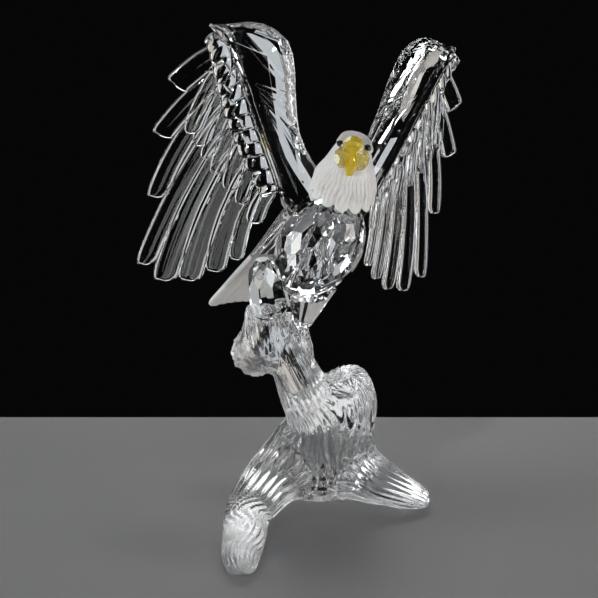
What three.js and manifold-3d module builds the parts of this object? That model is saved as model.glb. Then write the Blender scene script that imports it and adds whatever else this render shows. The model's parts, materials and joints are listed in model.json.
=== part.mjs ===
// A cut-crystal eagle landing on a tree stump, millimetres, +Z up.
// The origin is the centre of the stump's foot on the table, and the bird looks towards -Y.
import * as THREE from "three";
import { mergeVertices } from "three/addons/utils/BufferGeometryUtils.js";
import Module from "manifold-3d";

const { cos, sin, atan2, exp, PI, hypot, abs, max, min } = Math;
const DEGREE = PI / 180;

// Glue joint between two crystal pieces, and the overlap used where pieces are cut to each other.
const GLUE_GAP = 0.3;

// Where the bird is held above the stump, and how it is turned.
const BIRD_CENTRE = [-2.3, -26, 97.3];
const BIRD_YAW = 21.5 * DEGREE;
const BIRD_ROLL = 9.9 * DEGREE;

// The body: an egg of flat cut facets, pitched up at the breast.
const BODY_RADIUS = 13.5;
const BODY_BREAST_LENGTH = 24;
const BODY_RUMP_LENGTH = 23.6;
const BODY_PITCH = 40 * DEGREE;
const BODY_RUMP_TAPER = 0.93;
const BODY_FACETS_ROUND = 12;
const BODY_ROWS = [-78, -56, -36, -17, 1, 19, 38, 60];

// The frosted head with its cape of neck feathers.
const HEM_CENTRE = [-0.1, -12.4, 22.4];
const NECK_TILT_FORWARD = 17.5 * DEGREE;
const NECK_TILT_SIDE = -3 * DEGREE;
const HEM_RADIUS = 11;
const HEM_FEATHERS = 13;
const HEM_SCALLOP = 1.5;
const HEM_SLOPE = 0.05;
const HEAD_TURN = -25 * DEGREE;
const FACE_ROLL = -7 * DEGREE;
const HEAD_RADIUS = 6.1;
const HEAD_HEIGHT = 21.8;
const BROW_SWELL = 0.2;
const BROW_ANGLE = 52 * DEGREE;

// Beak and eyes, placed in the head's own turned frame.
const FACE_DROP = 5.2;
const BEAK_WIDTH = 3.8;
const BEAK_RIDGE_WIDTH = 2.7;
const BEAK_CHEEK_WIDTH = 10.6;
const EYE_RADIUS = 1.15;
const EYE_SPACING = 8.7;

// Wings, in the frame of one wing: x outwards, y backwards, z up along the wing.
const SHOULDER_HALF_WIDTH = 7;
const WING_SWEEP = 27 * DEGREE;
const WING_TILT = 3.4 * DEGREE;
const ARM_FRONT = 5.6;
const ARM_BACK = 3.6;
const ARM_GIRDLE = 1.4;
const BLADE_THICKNESS = 1.4;
const BLADE_SLANT = 0.1;
const WING_CURL = 2.6;
const WING_CURL_START = 28;
const WING_CURL_REACH = 22;
const BLADE_STATIONS = [
  { t: 0, full: 0.75 },
  { t: 0.35, full: 0.92 },
  { t: 0.68, full: 1 },
  { t: 0.88, full: 0.98 },
  { t: 0.95, full: 0.84 },
  { t: 1, full: 0.22 },
];
const COVERT_STATIONS = [
  { t: 0, full: 0.8 },
  { t: 0.45, full: 1 },
  { t: 0.84, full: 0.95 },
  { t: 1, full: 0.3 },
];

// Tail fan, in a frame whose z runs from the root to the tip.
const TAIL_ROOT = [-0.6, 14.4, 2.4];
const TAIL_SLOPE = 51.5 * DEGREE;
const TAIL_LENGTH = 45.2;
const TAIL_ROOT_HALF_WIDTH = 8.6;
const TAIL_TIP_HALF_WIDTH = 19.4;
const TAIL_ROOT_THICKNESS = 9;
const TAIL_TIP_THICKNESS = 2.4;
const TAIL_FEATHERS = 11;

// Stump.
const BARK_SIDES = 16;
const BARK_DEPTH = 0.085;

const wasm = await Module();
wasm.setup();

const vector = (p) => new THREE.Vector3(p[0], p[1], p[2]);
const lerp = (a, b, t) => a + (b - a) * t;
const smooth = (t) => t * t * (3 - 2 * t);

// Materials, one for each kind of glass.
const glass = (colour, roughness) =>
  new THREE.MeshStandardMaterial({ color: colour, roughness, metalness: 0, transparent: true, opacity: 0.4 });
const clear = glass(0xeef2f5, 0.03);
const frosted = new THREE.MeshStandardMaterial({ color: 0xd9d8d4, roughness: 0.6, metalness: 0 });
const yellow = new THREE.MeshStandardMaterial({ color: 0xc9b83a, roughness: 0.15, metalness: 0 });
const black = new THREE.MeshStandardMaterial({ color: 0x0c0c0e, roughness: 0.08, metalness: 0 });

// Triangles, given as a flat list of vectors, as a geometry.
function geometryOf(triangles) {
  const positions = new Float32Array(triangles.length * 3);
  triangles.forEach((p, i) => positions.set([p.x, p.y, p.z], 3 * i));
  return new THREE.BufferGeometry().setAttribute("position", new THREE.BufferAttribute(positions, 3));
}

// A closed geometry as a solid for joining and cutting, seen from another group if one is given.
function solidOf(geometry, from = null, to = null) {
  const bare = new THREE.BufferGeometry().setAttribute("position", geometry.getAttribute("position").clone());
  if (geometry.index) bare.setIndex(geometry.index.clone());
  let mirrored = false;
  if (from && to) {
    const matrix = to.matrixWorld.clone().invert().multiply(from.matrixWorld);
    bare.applyMatrix4(matrix);
    mirrored = matrix.determinant() < 0;
  }
  const merged = mergeVertices(bare, 1e-4);
  const triVerts = new Uint32Array(merged.index.array);
  if (mirrored) {
    for (let i = 0; i < triVerts.length; i += 3) {
      [triVerts[i + 1], triVerts[i + 2]] = [triVerts[i + 2], triVerts[i + 1]];
    }
  }
  const mesh = new wasm.Mesh({ numProp: 3, vertProperties: merged.attributes.position.array, triVerts });
  return new wasm.Manifold(mesh);
}

function solidGeometry(solid) {
  const mesh = solid.getMesh();
  const positions = new Float32Array(mesh.numVert * 3);
  for (let i = 0; i < mesh.numVert; i++) {
    const at = i * mesh.numProp;
    positions.set(mesh.vertProperties.subarray(at, at + 3), 3 * i);
  }
  const geometry = new THREE.BufferGeometry();
  geometry.setAttribute("position", new THREE.BufferAttribute(positions, 3));
  geometry.setIndex(new THREE.BufferAttribute(mesh.triVerts, 1));
  return geometry.toNonIndexed();
}

function largestPiece(solid) {
  return solid.decompose().sort((a, b) => b.volume() - a.volume())[0];
}

function joined(geometries) {
  return solidGeometry(geometries.map((g) => solidOf(g)).reduce((a, b) => a.add(b)));
}

// A stone cut by flat facets: every facet is a plane with an outward normal and its distance from the middle.
function cutStone(facets) {
  const triangles = [];
  facets.forEach((facet, index) => {
    const across = new THREE.Vector3(0, 0, 1);
    if (abs(facet.normal.z) > 0.9) across.set(1, 0, 0);
    across.cross(facet.normal).normalize();
    const up = facet.normal.clone().cross(across);
    let outline = [[-1, -1], [1, -1], [1, 1], [-1, 1]].map(([u, v]) =>
      facet.normal.clone().multiplyScalar(facet.distance).addScaledVector(across, 200 * u).addScaledVector(up, 200 * v),
    );
    facets.forEach((other, otherIndex) => {
      if (otherIndex === index) return;
      const clipped = [];
      outline.forEach((p, i) => {
        const q = outline[(i + 1) % outline.length];
        const dp = other.normal.dot(p) - other.distance;
        const dq = other.normal.dot(q) - other.distance;
        if (dp <= 0) clipped.push(p);
        if (dp < 0 !== dq < 0 && dp !== dq) clipped.push(p.clone().lerp(q, dp / (dp - dq)));
      });
      outline = clipped;
    });
    for (let i = 1; i + 1 < outline.length; i++) triangles.push(outline[0], outline[i], outline[i + 1]);
  });
  return solidGeometry(solidOf(geometryOf(triangles)));
}

// Facets that touch an egg with its own length above and below its widest ring.
function eggFacets(radiusX, radiusY, above, below, rows, round, inflate = 0, taper = 1) {
  const facets = [];
  rows.forEach((latitude, row) => {
    for (let k = 0; k < round; k++) {
      const turn = ((k + (row % 2) / 2) / round) * 2 * PI;
      const rise = latitude * DEGREE;
      const length = rise > 0 ? above : below;
      const normal = new THREE.Vector3(
        (cos(rise) * cos(turn)) / radiusX,
        (cos(rise) * sin(turn)) / radiusY,
        sin(rise) / length,
      ).normalize();
      const distance = hypot(radiusX * normal.x, radiusY * normal.y, length * normal.z);
      facets.push({ normal, distance: distance * (rise < 0 ? taper : 1) + inflate });
    }
  });
  facets.push({ normal: new THREE.Vector3(0, 0, 1), distance: above * 0.94 + inflate });
  facets.push({ normal: new THREE.Vector3(0, 0, -1), distance: below * 0.94 + inflate });
  return facets;
}

// A closed skin over rings of points, each ring with the same number of points, and flat ends.
function skin(rings, shift = 0) {
  const triangles = [];
  const count = rings[0].length;
  const centreOf = (ring) => ring.reduce((a, p) => a.add(p), new THREE.Vector3()).divideScalar(count);
  for (let r = 0; r + 1 < rings.length; r++) {
    for (let i = 0; i < count; i++) {
      const j = (i + 1) % count;
      const [a, b, c, d] = [rings[r][i], rings[r][j], rings[r + 1][j], rings[r + 1][i]];
      if ((i + r + shift) % 2) triangles.push(a, b, c, a, c, d);
      else triangles.push(a, b, d, b, c, d);
    }
  }
  const first = centreOf(rings[0]);
  const last = centreOf(rings[rings.length - 1]);
  for (let i = 0; i < count; i++) {
    const j = (i + 1) % count;
    triangles.push(first, rings[0][j], rings[0][i]);
    triangles.push(last, rings[rings.length - 1][i], rings[rings.length - 1][j]);
  }
  return geometryOf(triangles);
}

// A feather blade, set out from its outer edge, with its width towards the body and its thickness.
function blade({ root, bend, tip, width, lift, thickness = BLADE_THICKNESS, round = 0.2, stations = BLADE_STATIONS }) {
  const edge = new THREE.QuadraticBezierCurve(
    new THREE.Vector2(...root),
    new THREE.Vector2(...bend),
    new THREE.Vector2(...tip),
  );
  const rings = stations.map(({ t, full }) => {
    const at = edge.getPoint(t);
    const along = edge.getTangent(t);
    const side = new THREE.Vector2(along.y, -along.x);
    const start = width * round * (1 - full) * (t > 0.5 ? 1 : 0);
    const thin = lerp(1, 0.75, t) * (t === 1 ? 0.4 : 1);
    const section = [
      [0, 0.1],
      [0.26, -1],
      [0.72, -0.9],
      [1, 0.3],
      [0.72, 0.9],
      [0.26, 0.9],
    ];
    return section.map(([u, v]) => {
      const reach = start + u * width * full;
      const x = at.x + side.x * reach;
      const curl = WING_CURL * (max(0, x - WING_CURL_START) / WING_CURL_REACH) ** 2;
      const depth = lift - curl + v * thickness * thin - BLADE_SLANT * (reach - width / 2);
      return new THREE.Vector3(x, depth, at.y + side.y * reach);
    });
  });
  return skin(rings);
}

// Scene graph: the bird's own frame, and one frame for each wing, the right wing mirrored from the left.
const eagle = new THREE.Group();
const bird = new THREE.Group();
bird.position.set(...BIRD_CENTRE);
bird.rotation.set(0, BIRD_ROLL, BIRD_YAW, "ZYX");
eagle.add(bird);

const mirror = new THREE.Group();
mirror.scale.x = -1;
bird.add(mirror);

function wingFrame(parent) {
  const frame = new THREE.Group();
  frame.position.set(SHOULDER_HALF_WIDTH, 0, 0);
  frame.rotation.set(WING_TILT, 0, WING_SWEEP, "ZYX");
  parent.add(frame);
  return frame;
}
const leftWing = wingFrame(bird);
const rightWing = wingFrame(mirror);

const bodyFrame = new THREE.Group();
bodyFrame.position.set(0, -0.9, -0.4);
bodyFrame.rotation.set(BODY_PITCH, 0, 0);
bird.add(bodyFrame);

const neckFrame = new THREE.Group();
neckFrame.position.set(...HEM_CENTRE);
neckFrame.rotation.set(NECK_TILT_FORWARD, NECK_TILT_SIDE, 0);
bird.add(neckFrame);

const faceFrame = new THREE.Group();
faceFrame.position.set(0, 0, HEAD_HEIGHT - FACE_DROP);
faceFrame.rotation.set(0, FACE_ROLL, HEAD_TURN);
neckFrame.add(faceFrame);

const tailFrame = new THREE.Group();
tailFrame.position.set(...TAIL_ROOT);
tailFrame.rotation.set(-PI / 2 - TAIL_SLOPE, 0, 0);
bird.add(tailFrame);
eagle.updateMatrixWorld(true);

// Body.
const bodyFacets = (inflate) =>
  cutStone(
    eggFacets(
      BODY_RADIUS,
      BODY_RADIUS,
      BODY_BREAST_LENGTH,
      BODY_RUMP_LENGTH,
      BODY_ROWS,
      BODY_FACETS_ROUND,
      inflate,
      BODY_RUMP_TAPER,
    ),
  );
const bodyStone = bodyFacets(0);
const bodySeat = bodyFacets(GLUE_GAP);
const seatIn = (frame) => solidOf(bodySeat, bodyFrame, frame);

// Wing arm: a slab with a flat table in front, a girdle, and bevels made of small facets.
// Each outline point is x, z and the width of the front bevel there.
const ARM_OUTLINE = [
  [38.6, 67.4, 5.0],
  [32.2, 68.6, 3.6],
  [27.0, 70.2, 5.0],
  [22.2, 70.5, 6.4],
  [17.6, 69.4, 7.0],
  [13.6, 66.6, 6.8],
  [11.2, 62.4, 6.6],
  [9.6, 56.8, 6.6],
  [8.5, 50.6, 6.4],
  [7.2, 44.6, 6.0],
  [5.4, 38.0, 5.8],
  [3.0, 33.4, 5.6],
  [0.2, 29.6, 5.4],
  [-2.8, 26.2, 5.0],
  [-5.4, 22.0, 4.6],
  [-7.0, 16.8, 4.0],
  [-6.4, 11.0, 3.4],
  [-2.6, 8.0, 3.0],
  [3.0, 9.0, 2.6],
  [7.0, 13.6, 1.6],
  [9.2, 19.6, 1.2],
  [12.4, 25.8, 1.2],
  [15.8, 32.3, 1.2],
  [19.4, 39.1, 1.2],
  [22.8, 45.9, 1.2],
  [25.8, 51.9, 1.2],
  [28.5, 57.1, 1.3],
  [31.6, 62.4, 1.5],
];
function armSlab(grow) {
  const count = ARM_OUTLINE.length;
  const at = (i) => ARM_OUTLINE[(i + count) % count];
  const edgeNormal = (p, q) => new THREE.Vector2(p[1] - q[1], q[0] - p[0]).normalize();
  const inward = ARM_OUTLINE.map((p, i) => edgeNormal(at(i - 1), p).add(edgeNormal(p, at(i + 1))).normalize());
  const ring = (depth, inset, half) =>
    ARM_OUTLINE.map((p, i) => {
      const q = half ? at(i + 1) : p;
      const n = half ? inward[i].clone().add(inward[(i + 1) % count]).normalize() : inward[i];
      const width = (half ? (p[2] + q[2]) / 2 : p[2]) * inset - grow;
      const [x, z] = half ? [(p[0] + q[0]) / 2, (p[1] + q[1]) / 2] : p;
      return new THREE.Vector3(x + n.x * width, depth, z + n.y * width);
    });
  const rings = [
    ring(-ARM_FRONT - grow, 1, false),
    ring(-ARM_FRONT * 0.72, 0.42, true),
    ring(-ARM_GIRDLE, 0, false),
    ring(ARM_GIRDLE, 0, false),
    ring(ARM_BACK + grow, 0.6, false),
  ];
  return plate(rings);
}

// A plate over rings from front to back, its two faces flat and closed by triangles of the outline.
function plate(rings) {
  const triangles = [];
  const count = rings[0].length;
  for (let r = 0; r + 1 < rings.length; r++) {
    for (let i = 0; i < count; i++) {
      const j = (i + 1) % count;
      const [a, b, c, d] = [rings[r][i], rings[r][j], rings[r + 1][j], rings[r + 1][i]];
      if (r === 0) triangles.push(a, b, d, b, c, d);
      else if (r === 1) triangles.push(a, b, c, a, c, d);
      else triangles.push(a, b, d, b, c, d);
    }
  }
  const cap = (ring, flip) => {
    const outline = ring.map((p) => new THREE.Vector2(p.x, p.z));
    THREE.ShapeUtils.triangulateShape(outline, []).forEach(([a, b, c]) => {
      if (flip) triangles.push(ring[a], ring[c], ring[b]);
      else triangles.push(ring[a], ring[b], ring[c]);
    });
  };
  cap(rings[0], true);
  cap(rings[rings.length - 1], false);
  return geometryOf(triangles);
}

function facingOut(geometry) {
  const positions = geometry.getAttribute("position");
  let volume = 0;
  const [a, b, c] = [new THREE.Vector3(), new THREE.Vector3(), new THREE.Vector3()];
  for (let i = 0; i < positions.count; i += 3) {
    a.fromBufferAttribute(positions, i);
    b.fromBufferAttribute(positions, i + 1);
    c.fromBufferAttribute(positions, i + 2);
    volume += a.dot(b.cross(c));
  }
  if (volume > 0) return geometry;
  for (let i = 0; i < positions.count; i += 3) {
    b.fromBufferAttribute(positions, i + 1);
    c.fromBufferAttribute(positions, i + 2);
    positions.setXYZ(i + 1, c.x, c.y, c.z);
    positions.setXYZ(i + 2, b.x, b.y, b.z);
  }
  return geometry;
}

const armGeometry = solidGeometry(
  largestPiece(solidOf(facingOut(armSlab(0))).subtract(seatIn(leftWing))),
);
const armSeat = facingOut(armSlab(GLUE_GAP));

// Wing feathers: long blades, the row of shorter ones over them, and the ribbed strip beside the arm.
const PRIMARIES = [
  { root: [32, 66], bend: [42.5, 58.2], tip: [49.8, 48.2], width: 8.0, round: 0.1, lift: 1.0 },
  { root: [32, 57], bend: [43.0, 48.0], tip: [52.2, 30.3], width: 7.2, round: 0.1, lift: 0.85 },
  { root: [31, 51], bend: [45.6, 36.0], tip: [51.0, 8.4], width: 6.8, round: 0.1, lift: 0.7 },
  { root: [29, 47], bend: [44.2, 20.0], tip: [51.5, -15.0], width: 6.8, round: 0.15, lift: 0.55 },
  { root: [27, 42], bend: [42.2, 11.0], tip: [45.4, -19.8], width: 8.4, round: 0.15, lift: 0.4 },
  { root: [24, 36], bend: [35.8, 10.0], tip: [37.6, -18.6], width: 8.6, round: 0.25, lift: 0.25 },
  { root: [20, 30], bend: [28.8, 10.0], tip: [29.2, -14.0], width: 7.6, round: 0.3, lift: 0.1 },
  { root: [16, 23], bend: [22.4, 8.0], tip: [21.8, -8.6], width: 5.6, round: 0.4, lift: 0 },
];
const COVERTS = [
  { root: [34.5, 60], bend: [39.8, 46], tip: [42.6, 32.0], width: 6.0, lift: -1.5 },
  { root: [32.5, 53], bend: [37.0, 40], tip: [39.2, 28.4], width: 5.6, lift: -1.6 },
  { root: [30.0, 47], bend: [34.0, 36], tip: [36.0, 24.2], width: 5.2, lift: -1.7 },
  { root: [27.4, 41], bend: [31.0, 31], tip: [32.4, 20.0], width: 5.6, lift: -1.8 },
  { root: [24.0, 34.6], bend: [27.2, 26], tip: [27.4, 15.2], width: 6.4, lift: -1.9 },
  { root: [20.0, 27.6], bend: [22.4, 19.6], tip: [22.6, 11.2], width: 5.2, lift: -2.0 },
  { root: [13.6, 19.6], bend: [17.6, 14], tip: [18.0, 5.8], width: 6.2, lift: -2.1 },
];
// The strip's edge along the arm and its edge over the feathers.
const STRIP_ARM_SIDE = [[38.0, 65.0], [31.6, 61.4], [25.8, 51.2], [19.4, 38.4], [13.8, 28.2], [8.2, 17.6]];
const STRIP_FEATHER_SIDE = [[39.0, 63.6], [36.0, 57.4], [31.0, 44.8], [26.4, 35.6], [20.2, 25.0], [13.0, 14.8]];
const STRIP_RIBS = 12;

function ribbedStrip() {
  const edge = (points) => new THREE.SplineCurve(points.map((p) => new THREE.Vector2(...p)));
  const [inner, outer] = [edge(STRIP_ARM_SIDE), edge(STRIP_FEATHER_SIDE)];
  const rings = [];
  const count = STRIP_RIBS * 2;
  for (let s = 0; s <= count; s++) {
    const t = s / count;
    const [a, b] = [inner.getPoint(t), outer.getPoint(t)];
    const swell = s % 2 ? 1 : 0.55;
    const reach = s % 2 ? 1.14 : 0.92;
    const put = (u, y) => new THREE.Vector3(lerp(a.x, b.x, u), y, lerp(a.y, b.y, u));
    const front = -2.8 - 2.4 * swell;
    rings.push([
      put(-0.06, 1.2),
      put(-0.06, front + 0.7),
      put(0.45, front),
      put(reach - 0.15, front + 0.8),
      put(reach, -1.0),
      put(reach - 0.15, 1.2),
    ]);
  }
  return skin(rings);
}

const panelPieces = [
  ...PRIMARIES.map((p) => blade(p)),
  ...COVERTS.map((p) => blade({ ...p, round: 0.3, stations: COVERT_STATIONS, thickness: 1.3 })),
  ribbedStrip(),
];
const panelGeometry = solidGeometry(
  largestPiece(
    panelPieces
      .map((g) => solidOf(facingOut(g)))
      .reduce((a, b) => a.add(b))
      .subtract(solidOf(armSeat))
      .subtract(seatIn(leftWing)),
  ),
);

// Head and cape: rings up the neck, fluted like feathers, the face turned towards the front.
const HEAD_RINGS = [
  { up: -0.6, radius: HEM_RADIUS, flute: 0.05, scallop: 1, brow: 0 },
  { up: 2.2, radius: HEM_RADIUS * 0.98, flute: 0.05, scallop: 0.4, brow: 0 },
  { up: 6.0, radius: HEM_RADIUS * 0.9, flute: 0.045, scallop: 0, brow: 0 },
  { up: HEAD_HEIGHT - 9.2, radius: HEAD_RADIUS * 1.2, flute: 0.02, scallop: 0, brow: 0 },
  { up: HEAD_HEIGHT - 6.2, radius: HEAD_RADIUS, flute: 0, scallop: 0, brow: 0.3 },
  { up: HEAD_HEIGHT - 3.4, radius: HEAD_RADIUS * 0.9, flute: 0, scallop: 0, brow: 0.9 },
  { up: HEAD_HEIGHT - 1.4, radius: HEAD_RADIUS * 0.8, flute: 0, scallop: 0, brow: 1 },
  { up: HEAD_HEIGHT - 0.5, radius: HEAD_RADIUS * 0.56, flute: 0, scallop: 0, brow: 0.6 },
];
function headAndCape() {
  const round = HEM_FEATHERS * 2;
  const faceTurn = HEAD_TURN - PI / 2;
  const browAt = (turn, side) => {
    const away = turn - faceTurn - side * BROW_ANGLE;
    return exp(-((atan2(sin(away), cos(away)) / 0.5) ** 2));
  };
  const rings = HEAD_RINGS.map(({ up, radius, flute, scallop, brow }) =>
    Array.from({ length: round }, (_, i) => {
      const turn = (i / round) * 2 * PI;
      const wave = cos(HEM_FEATHERS * turn);
      const swell = BROW_SWELL * brow * (browAt(turn, -1) + browAt(turn, 1));
      const r = radius * (1 + flute * wave + swell);
      const z = up - scallop * (HEM_SCALLOP * wave + HEM_SLOPE * r * cos(turn));
      return new THREE.Vector3(r * cos(turn), r * sin(turn) * (up > 12 ? 1.08 : 1), z);
    }),
  );
  return skin(rings);
}

// Beak: a hooked ridge with two cheek lobes, in the face frame, the tip pointing to -Y and down.
function beakGeometry(grow) {
  const profile = [
    { y: -3.4, z: 6.0, base: 1.1, ridge: 0.7, h: 1.0 },
    { y: -6.4, z: 5.6, base: 1.8, ridge: 1, h: 2.3 },
    { y: -8.4, z: 3.4, base: 1.7, ridge: 1, h: 2.5 },
    { y: -9.6, z: 0.6, base: 0.9, ridge: 1, h: 2.5 },
    { y: -9.9, z: -2.2, base: 0.8, ridge: 0.95, h: 2.0 },
    { y: -9.4, z: -4.2, base: 0.6, ridge: 0.7, h: 1.1 },
  ];
  const rings = profile.map(({ y, z, base, ridge, h }, i) => {
    const half = (BEAK_WIDTH / 2) * base + grow;
    const crest = (BEAK_RIDGE_WIDTH / 2) * ridge + grow * 0.5;
    const lean = (i / (profile.length - 1)) * 80 * DEGREE;
    const [up, back] = [cos(lean), sin(lean)];
    const put = (u, v) => new THREE.Vector3(u, y - back * v, z + up * v);
    const top = h * 0.5 + grow;
    return [
      put(-half, -top),
      put(-half, -top * 0.1),
      put(-crest, top),
      put(crest, top),
      put(half, -top * 0.1),
      put(half, -top),
    ];
  });
  const ridge = facingOut(skin(rings));
  const cheek = (side) => {
    const lobe = cutStone(eggFacets(2.3, 2.6, 2.2, 4.4, [-50, -10, 30, 70], 7, grow));
    lobe.rotateX(-8 * DEGREE);
    lobe.translate(side * (BEAK_CHEEK_WIDTH / 2 - 2.3), -6.9, 1.4);
    return lobe;
  };
  return joined([ridge, cheek(-1), cheek(1)]);
}

const eyeAt = (side) => vector([side * EYE_SPACING * 0.5, -3.8, 3.3]);
function eyeGeometry(grow) {
  return new THREE.IcosahedronGeometry(EYE_RADIUS + grow, 1);
}
const headRaw = facingOut(headAndCape());
const headSolid = () => {
  let solid = solidOf(headRaw);
  solid = solid.subtract(seatIn(neckFrame));
  solid = solid.subtract(solidOf(armSeat, leftWing, neckFrame));
  solid = solid.subtract(solidOf(armSeat, rightWing, neckFrame));
  solid = solid.subtract(solidOf(beakGeometry(GLUE_GAP), faceFrame, neckFrame));
  for (const side of [-1, 1]) {
    const socket = eyeGeometry(GLUE_GAP).translate(...eyeAt(side).toArray());
    solid = solid.subtract(solidOf(socket, faceFrame, neckFrame));
  }
  return largestPiece(solid);
};
const headGeometry = solidGeometry(headSolid());

// Tail: a fan thick at the root, thin and scalloped at the end, grooved along each feather.
function tailFan() {
  const along = [-7, 0, 9, 24, 38, TAIL_LENGTH - 1.4];
  const across = TAIL_FEATHERS * 2;
  const rings = along.map((s, k) => {
    const t = max(0, s) / TAIL_LENGTH;
    const half = lerp(TAIL_ROOT_HALF_WIDTH, TAIL_TIP_HALF_WIDTH, t);
    const thick = lerp(TAIL_ROOT_THICKNESS, TAIL_TIP_THICKNESS, smooth(min(1, 1.5 * t)));
    const last = k === along.length - 1;
    const front = [];
    const back = [];
    for (let i = 0; i <= across; i++) {
      const u = (i / across) * 2 - 1;
      const groove = i % 2 ? 0 : 1;
      const end = last ? (groove ? -1.2 : 0.9) + 0.9 * u * u - 1.4 * max(0, abs(u) - 0.93) * 14 : 0;
      const depth = 0.1 + 0.16 * t;
      const arch = 2.6 * u * u * t;
      const belly = thick * (0.5 - (groove ? depth : 0)) * (1 - 0.35 * u * u);
      front.push(new THREE.Vector3(half * u, belly + arch, s + end));
      if (i > 0 && i < across) back.unshift(new THREE.Vector3(half * u, arch - belly * 0.8, s + end));
    }
    return [...front, ...back];
  });
  return facingOut(skin(rings));
}
const tailGeometry = solidGeometry(largestPiece(solidOf(tailFan()).subtract(seatIn(tailFrame))));

// Thighs: a rounded pear on the right leg, a tapering wedge on the left leg, both cut to sit against the body.
const RIGHT_THIGH_CENTRE = [-18.6, -27.0, 83.0];
const LEFT_THIGH_CENTRE = [-5.4, -22.6, 76.8];
const rightThighFrame = new THREE.Group();
rightThighFrame.position.set(...RIGHT_THIGH_CENTRE);
rightThighFrame.rotation.set(4 * DEGREE, -8 * DEGREE, 0);
eagle.add(rightThighFrame);
const leftThighFrame = new THREE.Group();
leftThighFrame.position.set(...LEFT_THIGH_CENTRE);
leftThighFrame.rotation.set(0, 12 * DEGREE, 0);
eagle.add(leftThighFrame);
eagle.updateMatrixWorld(true);

function rightThighStone(inflate) {
  const facets = eggFacets(5.6, 5.6, 11.6, 10, [8, 34, 62], 8, inflate).slice(0, -1);
  for (let k = 0; k < 8; k++) {
    const turn = ((k + 0.5) / 8) * 2 * PI;
    facets.push({ normal: vector([cos(turn) * 0.8, sin(turn) * 0.8, -0.6]), distance: 9.0 + inflate });
  }
  facets.push({ normal: vector([0, 0, -1]), distance: 9.2 + inflate });
  return cutStone(facets);
}
function leftThighStone(inflate) {
  const facets = [];
  for (let k = 0; k < 8; k++) {
    const turn = ((k + 0.5) / 8) * 2 * PI;
    facets.push({
      normal: vector([cos(turn), sin(turn), -0.36]).normalize(),
      distance: 5.3 + inflate,
    });
  }
  facets.push({ normal: vector([0.18, 0, 1]).normalize(), distance: 8 + inflate });
  facets.push({ normal: vector([0.25, 0, -1]).normalize(), distance: 8 + inflate });
  return cutStone(facets);
}
const rightThighGeometry = solidGeometry(
  largestPiece(solidOf(rightThighStone(0)).subtract(seatIn(rightThighFrame))),
);
const leftThighGeometry = solidGeometry(
  largestPiece(solidOf(leftThighStone(0)).subtract(seatIn(leftThighFrame))),
);

// Stump: ridged trunk, roots, broken branches and the bird's feet, moulded as one piece and flat underneath.
function barkTube(stations, { sides = BARK_SIDES, depth = BARK_DEPTH, twist = 0, ragged = 0 } = {}) {
  const points = stations.map((s) => vector(s));
  const rings = points.map((p, k) => {
    const before = points[max(0, k - 1)];
    const after = points[min(points.length - 1, k + 1)];
    const along = after.clone().sub(before).normalize();
    const side = new THREE.Vector3(0, 1, 0.001).cross(along).normalize();
    const up = along.clone().cross(side);
    return Array.from({ length: sides }, (_, i) => {
      const turn = ((i + twist * k) / sides) * 2 * PI;
      const ridge = 1 + depth * (i % 2 ? 1 : -1);
      const radius = stations[k][3] * ridge;
      const end = k === points.length - 1 ? ragged * sin(2.3 * i) : 0;
      return p
        .clone()
        .addScaledVector(side, radius * cos(turn))
        .addScaledVector(up, radius * sin(turn))
        .addScaledVector(along, end);
    });
  });
  return facingOut(skin(rings));
}

const TRUNK = [
  [-1, 2, -6, 12.5],
  [-1, 0, 8, 13.5],
  [-0.5, -5, 20, 13.5],
  [-1, -9, 31, 11.6],
  [-5.6, -12.2, 40, 8.9],
  [-9.4, -15.2, 50, 7.4],
  [-12.4, -18.2, 59, 6.8],
  [-14.2, -20.4, 66.5, 5.0],
];
const RIGHT_STUB = [
  [5, -6, 24, 12],
  [8.4, -10.5, 34, 10.0],
  [8.0, -12.4, 42, 9.2],
  [6.2, -13.6, 47.6, 6.6],
];
const LEFT_BRANCH = [
  [-15.5, -21, 72, 5],
  [-18.5, -19.6, 65, 7.6],
  [-22.6, -17.4, 57.6, 7.9],
  [-27.0, -15.8, 52, 5.4],
];
const FRONT_ROOT = [
  [-6, -3, 15, 12],
  [-18.0, -19.6, 10.4, 9.5],
  [-24.8, -36, 7.2, 7.7],
  [-26.0, -49, 4.8, 7.2],
  [-27.0, -60, 2.6, 6.3],
  [-26.8, -68.8, 0.4, 3.8],
];
const RIGHT_ROOT = [
  [5, -3, 14, 12.5],
  [14.5, -7.2, 8, 9.4],
  [24, -11.6, 4.6, 7.0],
  [31.5, -14.0, 2.2, 5.4],
  [36, -14.6, 0.2, 3.0],
];
const BACK_ROOT = [
  [-1, 4, 14, 12],
  [2, 15, 8, 9.4],
  [5, 24, 4, 6.4],
  [7, 30, 0.8, 3.4],
];
const RIGHT_FOOT = [
  [-19.8, -22.0, 76.6, 3.4],
  [-19.6, -22.0, 73.4, 6.2],
  [-19.2, -21.6, 68.4, 6.4],
  [-18.2, -20.8, 62, 4.6],
];
const LEFT_FOOT = [
  [-9.2, -21.2, 72, 3.0],
  [-9.0, -21.0, 69.6, 4.0],
  [-8.7, -20.0, 62.6, 3.9],
  [-8.0, -19.4, 58.4, 3.4],
];
const TOES = [
  [[-6.6, -19.4, 60, 2.2], [-6.4, -19.2, 54, 2.1], [-7.0, -17.2, 47.4, 1.7]],
  [[-9.4, -20.2, 60, 2.2], [-9.2, -20.4, 54, 2.1], [-9.6, -18.6, 47.4, 1.7]],
  [[-17.6, -22.6, 63, 3.6], [-18.4, -22.8, 57.4, 3.4], [-18.8, -21.6, 53, 2.2]],
];
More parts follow.
